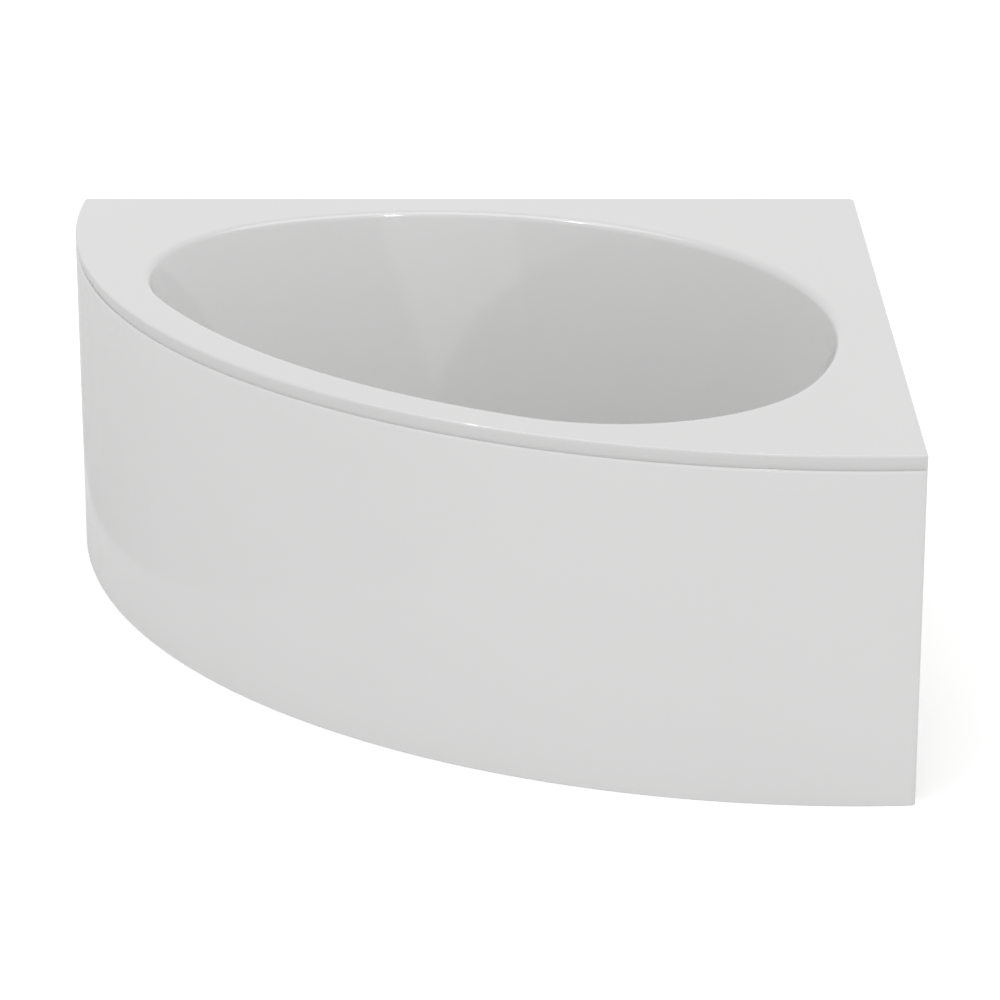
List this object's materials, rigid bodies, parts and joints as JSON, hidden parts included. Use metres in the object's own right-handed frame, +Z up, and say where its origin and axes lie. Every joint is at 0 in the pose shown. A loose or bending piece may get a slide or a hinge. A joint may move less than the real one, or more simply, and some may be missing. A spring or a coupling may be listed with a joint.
{
  "type": "corner bathtub",
  "caption": "Quadrant corner bathtub with an oval basin, flat deck, curved removable front panel, steel cradle, adjustable feet, pop-up waste, overflow knob and low trap.",
  "frame": {"origin": "floor level in the middle of the square footprint, at the underside of the feet and front panel", "axes": "+Z up, +X along the back wall towards the corner of the room, +Y towards the back wall; the corner of the room is at +X +Y and the round front faces -X -Y"},
  "size_m": [1.407, 1.407, 0.578],
  "materials": {
    "white_acrylic": "white acrylic with a high gloss, glass-fibre backing below",
    "panel_acrylic": "white acrylic with a high gloss",
    "chipboard": "raw chipboard",
    "batten_wood": "sawn softwood",
    "galvanised_steel": "galvanised steel",
    "screw_steel": "bright zinc plate",
    "spring_steel": "spring steel",
    "magnet_black": "black magnet block",
    "seal_rubber": "black rubber",
    "polished_chrome": "polished chrome",
    "brass_stem": "turned brass",
    "white_plastic": "white polypropylene",
    "grey_plastic": "grey polypropylene",
    "hose_plastic": "smooth pale hose",
    "cable_black": "black sheath",
    "foot_plastic": "black nylon"
  },
  "bodies": {
    "root": {"arm_screws": "screw_steel", "base_board": "chipboard", "bath_shell": "white_acrylic", "bracket_screws": "screw_steel", "catch_magnets": "magnet_black", "cleaning_cap": "grey_plastic", "clip_screws": "screw_steel", "control_cable": "cable_black", "corner_board": "chipboard", "corner_post": "galvanised_steel", "cradle_rail_back": "galvanised_steel", "cradle_rail_front": "galvanised_steel", "cradle_screws": "screw_steel", "cradle_spine_back": "galvanised_steel", "cradle_spine_front": "galvanised_steel", "hose_nuts": "grey_plastic", "lock_nuts": "screw_steel", "overflow_body": "white_plastic", "overflow_gasket": "seal_rubber", "overflow_hose": "hose_plastic", "overflow_plate": "polished_chrome", "panel_arms": "galvanised_steel", "panel_clips": "spring_steel", "pipe_nut": "grey_plastic", "pipe_seal": "seal_rubber", "rim_batten_back": "batten_wood", "rim_batten_front": "batten_wood", "rim_batten_side": "batten_wood", "trap_body": "white_plastic", "trap_nut": "grey_plastic", "wall_brackets": "galvanised_steel", "waste_body": "white_plastic", "waste_flange": "polished_chrome", "waste_gasket": "seal_rubber", "waste_seal": "seal_rubber", "weld_nuts": "screw_steel"},
    "front_panel": {"front_panel": "panel_acrylic", "keeper_plates": "galvanised_steel"},
    "knob": {"overflow_knob": "polished_chrome"},
    "plug": {"plug_cap": "polished_chrome", "plug_ring": "seal_rubber", "plug_stem": "brass_stem"},
    "lever": {"lift_lever": "brass_stem"},
    "foot_back_left": {"foot_stud_back_left": "screw_steel", "foot_pad_back_left": "foot_plastic"},
    "foot_back_right": {"foot_stud_back_right": "screw_steel", "foot_pad_back_right": "foot_plastic"},
    "foot_front_left": {"foot_stud_front_left": "screw_steel", "foot_pad_front_left": "foot_plastic"},
    "foot_front_right": {"foot_stud_front_right": "screw_steel", "foot_pad_front_right": "foot_plastic"},
    "foot_corner": {"foot_stud_corner": "screw_steel", "foot_pad_corner": "foot_plastic"}
  },
  "joints": [
    {"name": "foot_back_left_height", "type": "slide", "parent": "root", "child": "foot_back_left", "axis": [0, 0, 1], "range_m": [-0.015, 0.015]},
    {"name": "foot_back_right_height", "type": "slide", "parent": "root", "child": "foot_back_right", "axis": [0, 0, 1], "range_m": [-0.015, 0.015]},
    {"name": "foot_front_left_height", "type": "slide", "parent": "root", "child": "foot_front_left", "axis": [0, 0, 1], "range_m": [-0.015, 0.015]},
    {"name": "foot_front_right_height", "type": "slide", "parent": "root", "child": "foot_front_right", "axis": [0, 0, 1], "range_m": [-0.015, 0.015]},
    {"name": "foot_corner_height", "type": "slide", "parent": "root", "child": "foot_corner", "axis": [0, 0, 1], "range_m": [-0.015, 0.015]},
    {"name": "panel_pull", "type": "slide", "parent": "root", "child": "front_panel", "axis": [-0.7071, -0.7071, 0], "range_m": [0, 0.12]},
    {"name": "knob_turn", "type": "hinge", "parent": "root", "child": "knob", "pos_m": [-0.24857, -0.24857, 0.503], "axis": [0.7005, 0.7005, 0.1366], "range_deg": [0, 100]},
    {"name": "plug_lift", "type": "slide", "parent": "root", "child": "plug", "axis": [0, 0, 1], "range_m": [0, 0.01]},
    {"name": "lever_turn", "type": "hinge", "parent": "root", "child": "lever", "pos_m": [-0.09976, -0.09976, 0.107], "axis": [-0.7071, 0.7071, 0], "range_deg": [0, 32]}
  ],
  "couplings": [
    {"joint": "plug_lift", "follows": "knob_turn", "m_per_rad": 0.0057296},
    {"joint": "lever_turn", "follows": "knob_turn", "ratio": 0.32}
  ]
}
